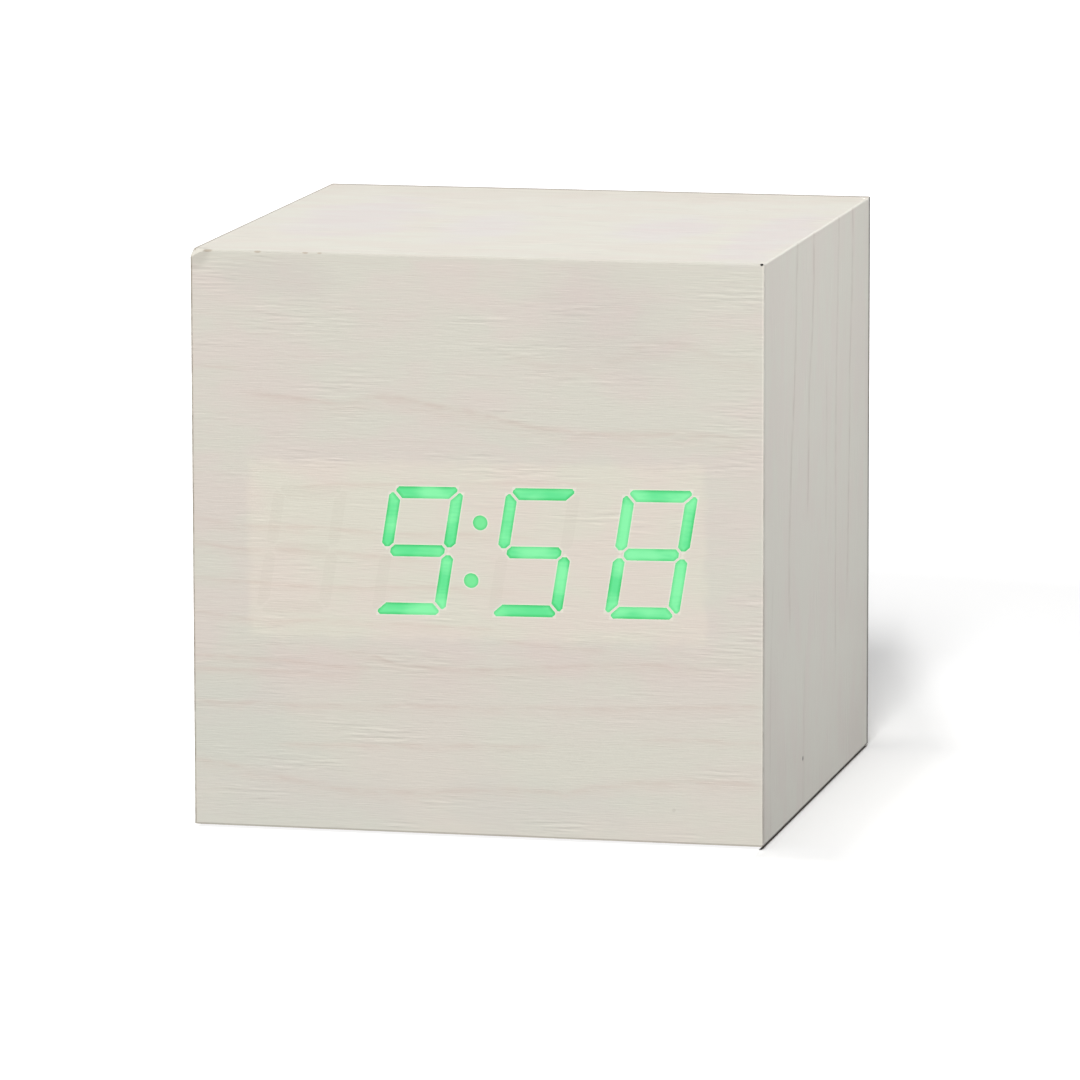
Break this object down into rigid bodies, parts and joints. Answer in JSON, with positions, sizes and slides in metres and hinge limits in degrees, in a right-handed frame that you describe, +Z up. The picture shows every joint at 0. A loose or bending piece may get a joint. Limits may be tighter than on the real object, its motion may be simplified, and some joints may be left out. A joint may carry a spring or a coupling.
{
  "type": "digital desk clock",
  "caption": "Cube desk clock in pale wood veneer; slanted green LED digits glow through the front, buttons and power inlet at the back, hinged battery door in the base.",
  "frame": {"origin": "on the floor under the middle of the cube, at the bottom of its foot pads", "axes": "+Z up, the display faces -Y, the power inlet faces +Y, +X to the viewer's right when the display is read"},
  "size_m": [0.068, 0.068, 0.0684],
  "materials": {
    "wrap_veneer": "white-washed wood veneer, grain across",
    "side_veneer": "white-washed wood veneer, grain upright",
    "fibreboard": "bare fibreboard",
    "lit_segment": "veneer lit green from behind",
    "unlit_segment": "veneer over an unlit segment",
    "film": "translucent white",
    "white_plastic": "satin",
    "clear_resin": "frosted clear",
    "circuit_board": "solder resist",
    "black_plastic": "fine moulded texture",
    "button_plastic": "satin",
    "steel": "zinc plated",
    "can": "plain metal can",
    "sleeve": "shrunk sleeve",
    "brass": "nickel washed",
    "rubber": "matt foam rubber",
    "pine": "planed",
    "cell": "printed foil jacket",
    "lead_red": "insulation",
    "lead_black": "insulation",
    "ribbon": "flat cable insulation"
  },
  "bodies": {
    "case": {"front_panel": "fibreboard", "top_panel": "fibreboard", "left_panel": "fibreboard", "right_panel": "fibreboard", "back_panel": "fibreboard", "wrap_veneer": "wrap_veneer", "left_veneer": "side_veneer", "right_veneer": "side_veneer", "lit_segments": "lit_segment", "unlit_segments": "unlit_segment", "diffuser_film": "film", "segment_reflector": "white_plastic", "light_guides": "clear_resin", "display_leds": "film", "display_board": "circuit_board", "display_spacers": "white_plastic", "display_screws": "steel", "display_header": "black_plastic", "control_board": "circuit_board", "board_spacers": "white_plastic", "board_screws": "steel", "controller_chip": "black_plastic", "crystal": "can", "capacitor": "sleeve", "backup_cell_holder": "black_plastic", "backup_cell": "can", "buzzer": "black_plastic", "microphone": "can", "dc_jack": "black_plastic", "dc_jack_pin": "brass", "board_header": "black_plastic", "ribbon_cable": "ribbon", "battery_plug": "white_plastic", "red_battery_lead": "lead_red", "black_battery_lead": "lead_black", "set_switch": "black_plastic", "up_switch": "black_plastic", "down_switch": "black_plastic", "base_plate": "black_plastic", "base_cleats": "pine", "base_screws": "steel", "foot_pads": "rubber", "battery_cells": "cell", "battery_springs": "steel", "contact_plates": "brass"},
    "set_button": {"set_button": "button_plastic", "set_switch_stem": "white_plastic"},
    "up_button": {"up_button": "button_plastic", "up_switch_stem": "white_plastic"},
    "down_button": {"down_button": "button_plastic", "down_switch_stem": "white_plastic"},
    "battery_door": {"battery_door": "black_plastic"}
  },
  "joints": [
    {"name": "set_push", "type": "slide", "parent": "case", "child": "set_button", "axis": [0, -1, 0], "range_m": [0, 0.0005], "stiffness_N_per_m": 3000},
    {"name": "up_push", "type": "slide", "parent": "case", "child": "up_button", "axis": [0, -1, 0], "range_m": [0, 0.0005], "stiffness_N_per_m": 3000},
    {"name": "down_push", "type": "slide", "parent": "case", "child": "down_button", "axis": [0, -1, 0], "range_m": [0, 0.0005], "stiffness_N_per_m": 3000},
    {"name": "battery_door_hinge", "type": "hinge", "parent": "case", "child": "battery_door", "pos_m": [-0.01785, 0, 0.002], "axis": [0, 1, 0], "range_deg": [0, 95]}
  ]
}
